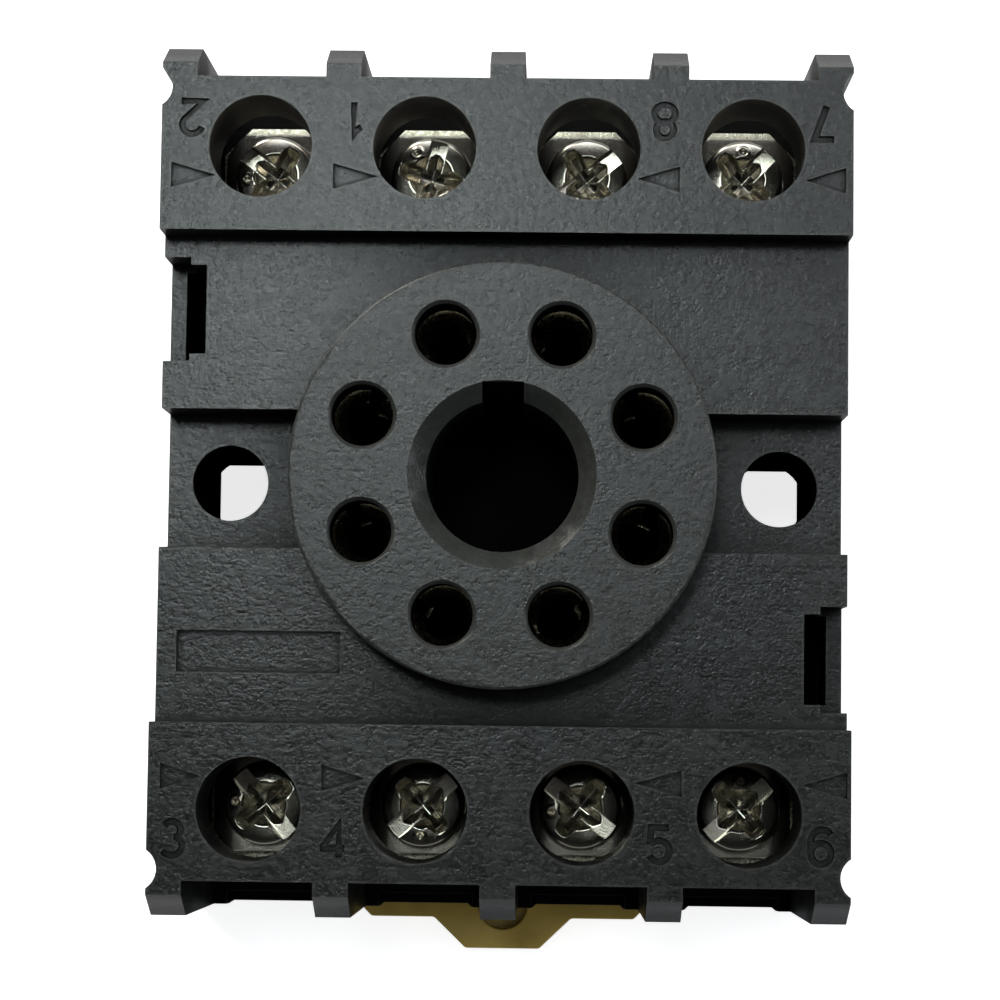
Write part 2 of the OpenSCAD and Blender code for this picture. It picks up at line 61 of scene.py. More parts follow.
def add(tree, kind, links=(), **settings):
    """Adds a node. links are (socket, source) pairs; a source is another node's output or a value."""
    node = tree.nodes.new(kind)
    for name, value in settings.items():
        setattr(node, name, value)
    for socket, source in links:
        if isinstance(source, bpy.types.NodeSocket):
            tree.links.new(source, node.inputs[socket])
        else:
            node.inputs[socket].default_value = source
    return node


def blank(name):
    """An empty node material and its tree."""
    made = bpy.data.materials.new(name)
    made.use_nodes = True
    made.node_tree.nodes.clear()
    return made, made.node_tree


camera = bpy.data.objects.new("camera", bpy.data.cameras.new("camera"))
camera.data.lens = 103.4                           # millimetres, on a sensor 36 wide
camera.data.sensor_width = 36
camera.data.clip_start = 0.01
# held 188 mm up over the lower half, and tilted 4.2 degrees towards the upper end
camera.location = (0.002938, -0.013551, 0.188098)
camera.rotation_euler = [math.radians(turn) for turn in (4.235443, 1.00549, 0.736893)]
scene.collection.objects.link(camera)
scene.camera = camera

# name, place and aim in metres, width and height in metres, watts, colour
LAMPS = (
    ("panel", (0.20, 0.62, 0.80), (0.0, 0.0, 0.02), (0.80, 0.50), 3.2, "#f4f8ff"),
    ("window", (-0.42, 0.62, 0.40), (0, 0, 0.01), (0.40, 0.40), 5.5, "#fffaf2"),
    ("glare", (-0.092, 0.182, 0.98), (-0.011, 0.015, 0.02), (0.14, 0.14), 1.0, "#f2fdfd"),
    ("side", (0.34, 0.20, 0.95), (0.01, 0.0, 0.02), (0.35, 0.35), 0.7, "#f4f8ff"),
    ("fill", (0.75, 0.10, 0.35), (0, 0, 0.01), (0.40, 0.40), 1.2, "#f4f8ff"))
for name, place, aim, (wide, high), watts, tint in LAMPS:
    lamp = bpy.data.objects.new(name, bpy.data.lights.new(name, "AREA"))
    lamp.data.shape = "RECTANGLE"
    lamp.data.size, lamp.data.size_y = wide, high
    lamp.data.energy = watts
    lamp.data.color = linear(tint)[:3]
    lamp.location = place
    lamp.rotation_euler = (Vector(aim) - Vector(place)).to_track_quat("-Z", "Y").to_euler()
    scene.collection.objects.link(lamp)

# White to the camera. Gloss sees a room that is bright beyond the upper end of
# the socket and dim on the viewer's side, so that only the lamps shine back from
# the flats.
world = bpy.data.worlds.new("studio")
scene.world = world
world.use_nodes = True
sky = world.node_tree
sky.nodes.clear()
path = add(sky, "ShaderNodeLightPath")
way = add(sky, "ShaderNodeTexCoord")
up = add(sky, "ShaderNodeSeparateXYZ", [(0, way.outputs["Generated"])])
beyond = add(sky, "ShaderNodeMapRange", [("Value", up.outputs["Y"]), ("From Min", 0.0), ("From Max", 0.6),
                                         ("To Min", 0.025), ("To Max", 0.14)])
dome = add(sky, "ShaderNodeBackground", [("Color", linear("#eef3fa")), ("Strength", 0.22)])
ceiling = add(sky, "ShaderNodeBackground", [("Color", (1, 1, 1, 1)), ("Strength", beyond.outputs["Result"])])
backdrop = add(sky, "ShaderNodeBackground", [("Color", (1, 1, 1, 1)), ("Strength", 1.0)])
around = add(sky, "ShaderNodeMixShader", [(0, path.outputs["Is Glossy Ray"]), (1, dome.outputs[0]),
                                          (2, ceiling.outputs[0])])
around = add(sky, "ShaderNodeMixShader", [(0, path.outputs["Is Camera Ray"]), (1, around.outputs[0]),
                                          (2, backdrop.outputs[0])])
add(sky, "ShaderNodeOutputWorld", [("Surface", around.outputs[0])])

# The table top: matt white paper. To the camera it also glows a little, so that
# it shows as plain white and keeps only a faint trace of the object's shadow. In
# gloss its near half is dim: a painted shadow, as if a viewer leaned over it.
half = 0.9                                         # metres from its middle to its edges
sheet = bpy.data.meshes.new("table_top")
corners = [(-half, -half, 0), (half, -half, 0), (half, half, 0), (-half, half, 0)]
sheet.from_pydata(corners, [], [(0, 1, 2, 3)])
table_top = bpy.data.objects.new("table_top", sheet)
table_top.location.z = -0.0001
scene.collection.objects.link(table_top)
paper, t = blank("white_paper_matt")
place = add(t, "ShaderNodeSeparateXYZ", [(0, add(t, "ShaderNodeNewGeometry").outputs["Position"])])
path = add(t, "ShaderNodeLightPath")
# painted shadow: in gloss the paper darkens towards the viewer's side
near = add(t, "ShaderNodeMapRange", [("Value", place.outputs["Y"]), ("From Min", -0.12), ("From Max", -0.03),
                                     ("To Min", 0.12), ("To Max", 0.6)])
seen = add(t, "ShaderNodeMix", [("Factor", path.outputs["Is Glossy Ray"]), (2, 1.0), (3, near.outputs[0])],
           data_type="FLOAT")
white = add(t, "ShaderNodeVectorMath", [(0, linear("#efefed")[:3]), ("Scale", seen.outputs[0])],
            operation="SCALE")
matt = add(t, "ShaderNodeBsdfDiffuse", [("Color", white.outputs[0])])
glow = add(t, "ShaderNodeEmission", [("Color", (1, 1, 1, 1)), ("Strength", 0.8)])
lit = add(t, "ShaderNodeAddShader", [(0, matt.outputs[0]), (1, glow.outputs[0])])
shown = add(t, "ShaderNodeMixShader", [(0, path.outputs["Is Camera Ray"]), (1, matt.outputs[0]),
                                       (2, lit.outputs[0])])
add(t, "ShaderNodeOutputMaterial", [("Surface", shown.outputs[0])])
sheet.materials.append(paper)


# ---------------------------------------------------------------- housing
# The upper shell: one compression moulding of black filled phenolic, with the
# pin disc, the driver holes and the end ribs all in one. Numbers and arrows are
# sunk in its two end blocks. It snaps down over the base.

black_phenolic, t = blank("black_phenolic_compression_moulded")
# Filled phenolic comes off a polished tool nearly black, with a satin skin that
# shows flow clouds, fine pits and drag lines in a glare, and a film of grey dust.
# Painted highlight lightens its bevels and edges, and painted shade darkens its creases, wells and deep
# floors.
# Its patterns are drawn in millimetres: flow clouds 1.6 across, filler grain 0.4
# and pits 0.15, both coarser than real so that they show, and one dust mote in
# each 0.55.
mm = add(t, "ShaderNodeMapping", [("Vector", add(t, "ShaderNodeTexCoord").outputs["Object"]),
                                  ("Scale", (1000, 1000, 1000))])
flow = add(t, "ShaderNodeTexNoise", [("Vector", mm.outputs[0]), ("Scale", 0.6), ("Detail", 6.0),
                                     ("Roughness", 0.7), ("Distortion", 0.45)])
filler = add(t, "ShaderNodeTexNoise", [("Vector", mm.outputs[0]), ("Scale", 2.6), ("Detail", 4.0),
                                       ("Roughness", 0.7)])
pits = add(t, "ShaderNodeTexNoise", [("Vector", mm.outputs[0]), ("Scale", 6.5), ("Detail", 2.0),
                                     ("Roughness", 0.5)])
drag_way = add(t, "ShaderNodeMapping", [("Vector", mm.outputs[0]), ("Scale", (0.22, 5.5, 1.0))])
drag = add(t, "ShaderNodeTexNoise", [("Vector", drag_way.outputs[0]), ("Scale", 1.0), ("Detail", 3.0)])
specks = add(t, "ShaderNodeTexVoronoi", [("Vector", mm.outputs[0]), ("Scale", 1.8)])
chosen = add(t, "ShaderNodeSeparateColor", [(0, specks.outputs["Color"])])
mote_size = add(t, "ShaderNodeMapRange", [("Value", chosen.outputs[0]), ("From Min", 0.72), ("From Max", 1.0),
                                          ("To Min", 0.0), ("To Max", 0.07)])
mote = add(t, "ShaderNodeMath", [(0, specks.outputs["Distance"]), (1, mote_size.outputs[0])],
           operation="LESS_THAN")
# painted shade: the colour darkens in creases, corners and the sunk marks
crease = add(t, "ShaderNodeAmbientOcclusion", [("Distance", 0.00045)], samples=3, only_local=True)
deep = add(t, "ShaderNodeMapRange", [("Value", crease.outputs["AO"]), ("From Min", 0.35), ("From Max", 0.86),
                                     ("To Min", 1.0), ("To Max", 0.0)])
lie = add(t, "ShaderNodeSeparateXYZ", [(0, add(t, "ShaderNodeNewGeometry").outputs["Normal"])])
well = add(t, "ShaderNodeAmbientOcclusion", [("Distance", 0.006)], samples=3)
# painted shade in the wells: upright walls of a well darken sooner than its floor does
black_at = add(t, "ShaderNodeMapRange", [("Value", lie.outputs["Z"]), ("From Min", 0.3), ("From Max", 0.55),
                                         ("To Min", 0.6), ("To Max", 0.2)])
clear_at = add(t, "ShaderNodeMath", [(0, black_at.outputs[0]), (1, 0.25)], operation="ADD")
inside = add(t, "ShaderNodeMapRange", [("Value", well.outputs["AO"]), ("From Min", black_at.outputs[0]),
                                       ("From Max", clear_at.outputs[0]), ("To Min", 1.0), ("To Max", 0.0)])
deep = add(t, "ShaderNodeMath", [(0, deep.outputs[0]), (1, inside.outputs[0])], operation="MAXIMUM")
# convex edges get a lighter film: partly wear, partly a painted highlight
rim = add(t, "ShaderNodeAmbientOcclusion", [("Distance", 0.00022)], samples=3, only_local=True, inside=True)
wear_and_highlight = add(t, "ShaderNodeMapRange", [("Value", rim.outputs["AO"]), ("From Min", 0.5), ("From Max", 0.85),
                                     ("To Min", 0.5), ("To Max", 0.0)])
# sloping faces, bevels and chamfers, get a lighter film: a painted highlight
slope = add(t, "ShaderNodeMapRange", [("Value", lie.outputs["Z"]), ("From Min", 0.3), ("From Max", 0.55)])
level = add(t, "ShaderNodeMapRange", [("Value", lie.outputs["Z"]), ("From Min", 0.85), ("From Max", 0.95),
                                      ("To Min", 1.0), ("To Max", 0.0)])
bevelled = add(t, "ShaderNodeMath", [(0, slope.outputs[0]), (1, level.outputs[0])], operation="MULTIPLY")
height = add(t, "ShaderNodeSeparateXYZ", [(0, mm.outputs[0])])
# painted shade: level floors deep inside, below the wire bays' roofs and down the bore, are painted black
low = add(t, "ShaderNodeMapRange", [("Value", height.outputs["Z"]), ("From Min", 14.5), ("From Max", 15.5),
                                    ("To Min", 0.9), ("To Max", 0.0)])
floors = add(t, "ShaderNodeMath", [(0, low.outputs[0]), (1, level.outputs[0])], operation="SUBTRACT",
             use_clamp=True)
deep = add(t, "ShaderNodeMath", [(0, deep.outputs[0]), (1, floors.outputs[0])], operation="MAXIMUM")
disc = add(t, "ShaderNodeMapRange", [("Value", height.outputs["Z"]), ("From Min", 23.2), ("From Max", 24.2)])
scored = add(t, "ShaderNodeMapRange", [("Value", drag.outputs["Fac"]), ("From Min", 0.6), ("From Max", 0.72),
                                       ("To Min", 0.0), ("To Max", 0.18)])
clouds = add(t, "ShaderNodeValToRGB", [("Fac", flow.outputs["Fac"])])
clouds.color_ramp.elements[0].position, clouds.color_ramp.elements[0].color = 0.34, linear("#0e100f")
clouds.color_ramp.elements[1].position, clouds.color_ramp.elements[1].color = 0.68, linear("#212423")
dust_and_sheen = add(t, "ShaderNodeMapRange", [("Value", filler.outputs["Fac"]), ("From Min", 0.38), ("From Max", 0.8),
                                      ("To Min", 0.0), ("To Max", 0.08)])
dust_and_sheen = add(t, "ShaderNodeMath", [(0, disc.outputs[0]), (1, 0.02), (2, dust_and_sheen.outputs[0])],
            operation="MULTIPLY_ADD")
dust_and_sheen = add(t, "ShaderNodeMath", [(0, bevelled.outputs[0]), (1, 0.13), (2, dust_and_sheen.outputs[0])],
            operation="MULTIPLY_ADD")
dust_and_sheen = add(t, "ShaderNodeMath", [(0, wear_and_highlight.outputs[0]), (1, 0.3), (2, dust_and_sheen.outputs[0])],
            operation="MULTIPLY_ADD")
# the grey film: dust, with painted highlight on the bevels and the edges
film = add(t, "ShaderNodeMix", [("Factor", dust_and_sheen.outputs[0]), (6, clouds.outputs["Color"]),
                                (7, linear("#6b6d66"))], data_type="RGBA")
motes = add(t, "ShaderNodeMix", [("Factor", mote.outputs[0]), (6, film.outputs[2]), (7, linear("#5f615b"))],
            data_type="RGBA")
# painted shade: creases, wells and deep floors are mixed towards black
with_painted_shade = add(t, "ShaderNodeMix", [("Factor", deep.outputs[0]), (6, motes.outputs[2]), (7, linear("#0b0b0a"))],
             data_type="RGBA")
rough = add(t, "ShaderNodeMath", [(0, flow.outputs["Fac"]), (1, filler.outputs["Fac"]),
                                  (2, pits.outputs["Fac"])], operation="MULTIPLY_ADD")
gloss = add(t, "ShaderNodeMapRange", [("Value", rough.outputs[0]), ("From Min", 0.5), ("From Max", 1.0),
                                      ("To Min", 0.12), ("To Max", 0.25)])
gloss = add(t, "ShaderNodeMath", [(0, disc.outputs[0]), (1, 0.05), (2, gloss.outputs[0])],
            operation="MULTIPLY_ADD")
gloss = add(t, "ShaderNodeMix", [("Factor", scored.outputs[0]), (2, gloss.outputs[0]), (3, 0.4)],
            data_type="FLOAT")
gloss = add(t, "ShaderNodeMix", [("Factor", deep.outputs[0]), (2, gloss.outputs[0]), (3, 0.8)],
            data_type="FLOAT")
relief = add(t, "ShaderNodeBump", [("Height", pits.outputs["Fac"]), ("Strength", 0.55),
                                   ("Distance", 0.00002)])
relief = add(t, "ShaderNodeBump", [("Height", filler.outputs["Fac"]), ("Strength", 0.5),
                                   ("Distance", 0.00005), ("Normal", relief.outputs[0])])
relief = add(t, "ShaderNodeBump", [("Height", drag.outputs["Fac"]), ("Strength", 0.12), ("Distance", 0.00003),
                                   ("Normal", relief.outputs[0])])
dull = add(t, "ShaderNodeMapRange", [("Value", deep.outputs[0]), ("To Min", 0.5), ("To Max", 0.0)])
skin = add(t, "ShaderNodeBsdfPrincipled", [("Base Color", with_painted_shade.outputs[2]), ("Roughness", gloss.outputs[0]),
                                           ("IOR", 1.5), ("Specular IOR Level", dull.outputs[0]),
                                           ("Normal", relief.outputs[0])])
add(t, "ShaderNodeOutputMaterial", [("Surface", skin.outputs[0])])

# Fresh shading for a CAD node: its stored normals go, and an edge sharper than
# 34 degrees stays sharp.
evened = bpy.data.node_groups.new("even_shading", "GeometryNodeTree")
evened.interface.new_socket("Geometry", in_out="INPUT", socket_type="NodeSocketGeometry")
evened.interface.new_socket("Geometry", in_out="OUTPUT", socket_type="NodeSocketGeometry")
bare = add(evened, "GeometryNodeRemoveAttribute", [("Geometry", add(evened, "NodeGroupInput").outputs[0]),
                                                   ("Name", "custom_normal")])
rounded = add(evened, "GeometryNodeSetShadeSmooth", [("Geometry", bare.outputs[0]), ("Shade Smooth", True)],
              domain="FACE")
bend = add(evened, "FunctionNodeCompare", [(0, add(evened, "GeometryNodeInputMeshEdgeAngle").outputs[0]),
                                           (1, math.radians(34))], data_type="FLOAT",
           operation="GREATER_THAN")
kept = add(evened, "GeometryNodeSetShadeSmooth", [("Geometry", rounded.outputs[0]),
                                                  ("Selection", bend.outputs[0]), ("Shade Smooth", False)],
           domain="EDGE")
add(evened, "NodeGroupOutput", [(0, kept.outputs[0])])


def dress(node, material, edge, cutter=None):
    """Gives a CAD node its material, breaks its edges by edge metres and sinks a cutter's marks in it."""
    node.data.materials.clear()
    node.data.materials.append(material)
    weld = node.modifiers.new("weld", "WELD")
    weld.merge_threshold = 1e-6
    flats = node.modifiers.new("flats", "DECIMATE")
    flats.decimate_type = "DISSOLVE"
    flats.angle_limit = 0.02                       # radians
    broken = node.modifiers.new("broken_edges", "BEVEL")
    broken.width = edge
    broken.segments = 2
    broken.limit_method = "ANGLE"
    broken.angle_limit = math.radians(34)
    if cutter:
        sunk = node.modifiers.new("sunk_marks", "BOOLEAN")
        sunk.operation = "DIFFERENCE"
        sunk.solver = "EXACT"
        sunk.use_self = True
        sunk.object = cutter
    even = node.modifiers.new("even_shading", "NODES")
    even.node_group = evened
    weighted = node.modifiers.new("weighted_normals", "WEIGHTED_NORMAL")
    weighted.keep_sharp = True


# The sunk marks, in millimetres: strokes 0.42 wide at the face and 0.32 at
# their floor, 0.22 deep. Each number is drawn about its own middle.
STROKE_TOP, STROKE_FLOOR, MARK_DEEP, MARK_OVER = 0.21, 0.16, 0.22, 0.05


def arc(cx, cy, rx, ry, first, last, steps=14):
    """Points on an ellipse, from one angle to another in degrees."""
    turns = [math.radians(first + (last - first) * i / steps) for i in range(steps + 1)]
    return [(cx + rx * math.cos(a), cy + ry * math.sin(a)) for a in turns]


NUMBERS = {
    1: [[(-0.36, 0.50), (-0.08, 0.66), (0.08, 0.98), (0.08, -0.98)]],
    2: [arc(0.0, 0.42, 0.58, 0.56, 165, -35) + [(-0.62, -0.97), (0.66, -0.97)]],
    3: [arc(0.0, 0.47, 0.50, 0.50, 150, -70), arc(0.0, -0.42, 0.60, 0.55, 80, -150)],
    4: [[(0.34, -1.0), (0.34, 0.95), (-0.62, -0.45)], [(-0.72, -0.45), (0.68, -0.45)]],
    5: [[(0.56, 0.98), (-0.46, 0.98), (-0.52, 0.02)], arc(0.0, -0.36, 0.60, 0.61, 142, -155)],
    6: [arc(0.0, -0.38, 0.58, 0.60, 0, 360, 24), arc(0.05, 0.30, 0.63, 0.68, 35, 180) + [(-0.58, -0.38)]],
    7: [[(-0.56, 0.98), (0.58, 0.98), (-0.12, -0.98)]],
    8: [arc(0.0, 0.49, 0.50, 0.49, 0, 360, 22), arc(0.0, -0.46, 0.60, 0.53, 0, 360, 24)],
}


def stroke(bm, points, top):
    """A groove cutter along a line: a bar wider at the face than at the groove's floor."""
    closed = math.dist(points[0], points[-1]) < 1e-6
    if closed:
        points = points[:-1]
    count = len(points)
    rings = []
    for i, (x, y) in enumerate(points):
        before = points[i - 1] if closed or i else points[0]
        after = points[(i + 1) % count] if closed or i < count - 1 else points[-1]
        into = Vector((x - before[0], y - before[1]))
        out = Vector((after[0] - x, after[1] - y))
        into = (into if into.length else out).normalized()
        out = (out if out.length else into).normalized()
        side = Vector((-(into + out).y, (into + out).x)).normalized()
        reach = 1 / max(0.5, side.dot(Vector((-into.y, into.x))))
        ring = []
        for off, z in ((STROKE_TOP, top + MARK_OVER), (-STROKE_TOP, top + MARK_OVER),
                       (-STROKE_FLOOR, top - MARK_DEEP), (STROKE_FLOOR, top - MARK_DEEP)):
            ring.append(bm.verts.new((x + off * reach * side.x, y + off * reach * side.y, z)))
        rings.append(ring)
    for i in range(count if closed else count - 1):
        a, b = rings[i], rings[(i + 1) % count]
        for j in range(4):
            bm.faces.new((a[j], b[j], b[(j + 1) % 4], a[(j + 1) % 4]))
    if not closed:
        bm.faces.new(rings[0])
        bm.faces.new(rings[-1][::-1])


def wedge(bm, corners, top):
    """A cutter for a sunk arrow."""
    low = [bm.verts.new((x, y, top - MARK_DEEP)) for x, y in corners]
    high = [bm.verts.new((x, y, top + MARK_OVER)) for x, y in corners]
    bm.faces.new(low)
    bm.faces.new(high[::-1])
    for i in range(3):
        j = (i + 1) % 3
        bm.faces.new((low[i], high[i], high[j], low[j]))


# number: middle x and y of the figure; the upper row's figures stand on their heads
FIGURES = {2: (-18.42, 20.95), 1: (-8.87, 20.95), 8: (9.22, 20.95), 7: (18.52, 20.95),
           3: (-18.75, -21.02), 4: (-9.48, -21.02), 5: (9.24, -21.02), 6: (18.50, -21.02)}
# the arrows that point from the numbers to the driver holes: base x, tip x, middle y
ARROWS = ((-19.60, -17.0, 17.55), (-10.13, -7.50, 17.55), (10.11, 7.65, 17.55), (19.78, 17.45, 17.55),
          (-19.50, -17.2, -17.45), (-10.20, -7.68, -17.45), (10.50, 7.85, -17.52), (20.00, 17.43, -17.52))
ARROW_HALF = 0.75
front = 22.4                                       # the end blocks' front face
bm = bmesh.new()
for figure, (x, y) in FIGURES.items():
    facing = -1 if y > 0 else 1
    for line in NUMBERS[figure]:
        stroke(bm, [(x + facing * px, y + facing * py) for px, py in line], front)
for base_x, tip_x, y in ARROWS:
    wedge(bm, ((base_x, y - ARROW_HALF), (base_x, y + ARROW_HALF), (tip_x, y)), front)
bmesh.ops.scale(bm, vec=(0.001, 0.001, 0.001), verts=bm.verts)
bmesh.ops.recalc_face_normals(bm, faces=bm.faces)
marks = bpy.data.meshes.new("sunk_marks")
bm.to_mesh(marks)
bm.free()
mark_cutter = bpy.data.objects.new("sunk_marks_cutter", marks)
mark_cutter.hide_render = True
scene.collection.objects.link(mark_cutter)

dress(nodes["housing"], black_phenolic, 0.00009, mark_cutter)


# ---------------------------------------------------------------- base
# The lower shell that carries the contacts and grips the rail, moulded of the
# same black phenolic. Its catches snap into windows in the housing's sides.

dress(nodes["base"], black_phenolic, 0.00009)


# ---------------------------------------------------------------- rail latch
# A flat sprung slide of olive nylon with two spring legs, injection moulded and
# pushed into the channel behind the base. Its tab is pulled with a screwdriver.

olive_nylon, t = blank("olive_nylon_injection_moulded")
# Nylon takes light a little way in, so the tab looks waxy, with a soft satin
# shine, drag lines along the slide, and painted shade that darkens its creases.
mm = add(t, "ShaderNodeMapping", [("Vector", add(t, "ShaderNodeTexCoord").outputs["Object"]),
                                  ("Scale", (1000, 1000, 1000))])
cloud = add(t, "ShaderNodeTexNoise", [("Vector", mm.outputs[0]), ("Scale", 0.5), ("Detail", 5.0)])
drag_way = add(t, "ShaderNodeMapping", [("Vector", mm.outputs[0]), ("Scale", (6.0, 0.5, 1.0))])
drag = add(t, "ShaderNodeTexNoise", [("Vector", drag_way.outputs[0]), ("Scale", 1.0), ("Detail", 3.0)])
shade = add(t, "ShaderNodeValToRGB", [("Fac", cloud.outputs["Fac"])])
shade.color_ramp.elements[0].position, shade.color_ramp.elements[0].color = 0.3, linear("#bd9f40")
shade.color_ramp.elements[1].position, shade.color_ramp.elements[1].color = 0.7, linear("#d0b24e")
# painted shade: the creases darken towards brown
crease = add(t, "ShaderNodeAmbientOcclusion", [("Distance", 0.0006)], samples=3, only_local=True)
deep = add(t, "ShaderNodeMapRange", [("Value", crease.outputs["AO"]), ("From Min", 0.4), ("From Max", 0.9),
                                     ("To Min", 0.7), ("To Max", 0.0)])
with_painted_shade = add(t, "ShaderNodeMix", [("Factor", deep.outputs[0]), (6, shade.outputs["Color"]),
                                  (7, linear("#5d4a1c"))], data_type="RGBA")
relief = add(t, "ShaderNodeBump", [("Height", drag.outputs["Fac"]), ("Strength", 0.4), ("Distance", 0.00004)])
skin = add(t, "ShaderNodeBsdfPrincipled", [("Base Color", with_painted_shade.outputs[2]), ("Roughness", 0.38),
                                           ("IOR", 1.53), ("Normal", relief.outputs[0]),
                                           ("Subsurface Weight", 0.15),
                                           ("Subsurface Radius", (0.0012, 0.0009, 0.0004)),
                                           ("Subsurface Scale", 1.0)])
add(t, "ShaderNodeOutputMaterial", [("Surface", skin.outputs[0])])
dress(nodes["rail_latch"], olive_nylon, 0.00012)


# ---------------------------------------------------------------- contacts
# Eight strips blanked and rolled from 1 mm brass and nickel plated. One end is
# the tapped plate under the clamp screw, the other a split tube for a relay pin.

nickel_brass, t = blank("nickel_plated_rolled_brass")
# Plate over rolled strip: bright, a little warm, with rolling lines, browned
# by tarnish in patches, and darkened with painted shade in corners and down the holes.
mm = add(t, "ShaderNodeMapping", [("Vector", add(t, "ShaderNodeTexCoord").outputs["Object"]),
                                  ("Scale", (1000, 1000, 1000))])
grain = add(t, "ShaderNodeTexNoise", [("Vector", mm.outputs[0]), ("Scale", 4.0), ("Detail", 4.0)])
rolled_way = add(t, "ShaderNodeMapping", [("Vector", mm.outputs[0]), ("Scale", (12.0, 0.8, 1.0))])
rolled = add(t, "ShaderNodeTexNoise", [("Vector", rolled_way.outputs[0]), ("Scale", 1.0), ("Detail", 3.0)])
tarnish = add(t, "ShaderNodeTexNoise", [("Vector", mm.outputs[0]), ("Scale", 0.8), ("Detail", 5.0)])
stain_and_shade = add(t, "ShaderNodeMapRange", [("Value", tarnish.outputs["Fac"]), ("From Min", 0.45),
                                      ("From Max", 0.7), ("To Min", 0.0), ("To Max", 0.55)])
# painted shade: deep in the pin holes and in corners the strip darkens to brown
crease = add(t, "ShaderNodeAmbientOcclusion", [("Distance", 0.0025)], samples=3)
hollow = add(t, "ShaderNodeMapRange", [("Value", crease.outputs["AO"]), ("From Min", 0.15), ("From Max", 0.6),
                                       ("To Min", 0.85), ("To Max", 0.0)])
stain_and_shade = add(t, "ShaderNodeMath", [(0, stain_and_shade.outputs[0]), (1, hollow.outputs[0])], operation="MAXIMUM")
tone = add(t, "ShaderNodeMix", [("Factor", stain_and_shade.outputs[0]), (6, linear("#b3ae9b")), (7, linear("#3d3626"))],
           data_type="RGBA")
shine = add(t, "ShaderNodeMapRange", [("Value", grain.outputs["Fac"]), ("From Min", 0.3), ("From Max", 0.7),
                                      ("To Min", 0.2), ("To Max", 0.36)])
relief = add(t, "ShaderNodeBump", [("Height", rolled.outputs["Fac"]), ("Strength", 0.4),
                                   ("Distance", 0.00002)])
skin = add(t, "ShaderNodeBsdfPrincipled", [("Base Color", tone.outputs[2]), ("Roughness", shine.outputs[0]),
                                           ("Metallic", 1.0), ("Normal", relief.outputs[0])])
add(t, "ShaderNodeOutputMaterial", [("Surface", skin.outputs[0])])
for k in range(1, 9):
    dress(nodes[f"contact_{k}"], nickel_brass, 0.00005)


# ---------------------------------------------------------------- clamp washers
# Pressed steel saddles, nickel plated, one loose under each screw's head. The
# two wings bend down to hold the wire on either side, and the outer edges are
# sheared straight, so each shows a bright line beyond its screw.

# in millimetres: half its length and width, the radius that cuts its corners, its
# hole, its gauge, how far the wings drop, where they start and the broken edge
WASHER = {"half_x": 3.29, "half_y": 2.97, "round": 3.62, "hole": 1.95, "thick": 0.6,
          "bend": 0.35, "flat": 1.9, "edge": 0.07}

nickel_steel, t = blank("nickel_plated_pressed_steel")
# Pressed and barrel plated: bright where flat, grained by the die, tarnished to
# olive brown in patches, and a little darker in the hollows with painted shade.
mm = add(t, "ShaderNodeMapping", [("Vector", add(t, "ShaderNodeTexCoord").outputs["Object"]),
                                  ("Scale", (1000, 1000, 1000))])
lot = add(t, "ShaderNodeObjectInfo")
moved = add(t, "ShaderNodeVectorMath", [(0, mm.outputs[0]), (1, lot.outputs["Location"])], operation="ADD")
moved = add(t, "ShaderNodeVectorMath", [(0, moved.outputs[0]), (1, lot.outputs["Random"])], operation="ADD")
die = add(t, "ShaderNodeTexNoise", [("Vector", moved.outputs[0]), ("Scale", 5.5), ("Detail", 3.0),
                                    ("Roughness", 0.6)])
tarnish = add(t, "ShaderNodeTexNoise", [("Vector", moved.outputs[0]), ("Scale", 1.3), ("Detail", 5.0)])
# painted shade: the hollows darken a little
crease = add(t, "ShaderNodeAmbientOcclusion", [("Distance", 0.0005)], samples=3)
hollow = add(t, "ShaderNodeMapRange", [("Value", crease.outputs["AO"]), ("From Min", 0.1), ("From Max", 0.6),
                                       ("To Min", 0.12), ("To Max", 0.0)])
stain_and_shade = add(t, "ShaderNodeMapRange", [("Value", tarnish.outputs["Fac"]), ("From Min", 0.45),
                                      ("From Max", 0.75), ("To Min", 0.0), ("To Max", 0.25)])
stain_and_shade = add(t, "ShaderNodeMath", [(0, stain_and_shade.outputs[0]), (1, hollow.outputs[0])], operation="MAXIMUM")
tone = add(t, "ShaderNodeMix", [("Factor", stain_and_shade.outputs[0]), (6, linear("#cfcabb")), (7, linear("#5a523b"))],
           data_type="RGBA")
shine = add(t, "ShaderNodeMapRange", [("Value", die.outputs["Fac"]), ("From Min", 0.3), ("From Max", 0.7),
                                      ("To Min", 0.18), ("To Max", 0.25)])
relief = add(t, "ShaderNodeBump", [("Height", die.outputs["Fac"]), ("Strength", 0.05), ("Distance", 0.00002)])
skin = add(t, "ShaderNodeBsdfPrincipled", [("Base Color", tone.outputs[2]), ("Roughness", shine.outputs[0]),
                                           ("Metallic", 1.0), ("Normal", relief.outputs[0])])
add(t, "ShaderNodeOutputMaterial", [("Surface", skin.outputs[0])])


def washer_rim(c, q):
    """How far the saddle reaches from its axis along the direction (c, q)."""
    w = WASHER
    return min(w["round"], w["half_x"] / max(abs(c), 1e-6), w["half_y"] / max(abs(q), 1e-6))


def washer_lift(x):
    """How far the saddle's underside lies above its wing tips at x: the wings bend down from the flat."""
    w = WASHER
    past = max(0.0, abs(x) - w["flat"]) / (w["half_x"] - w["flat"])
    return w["bend"] * (1 - past * past)


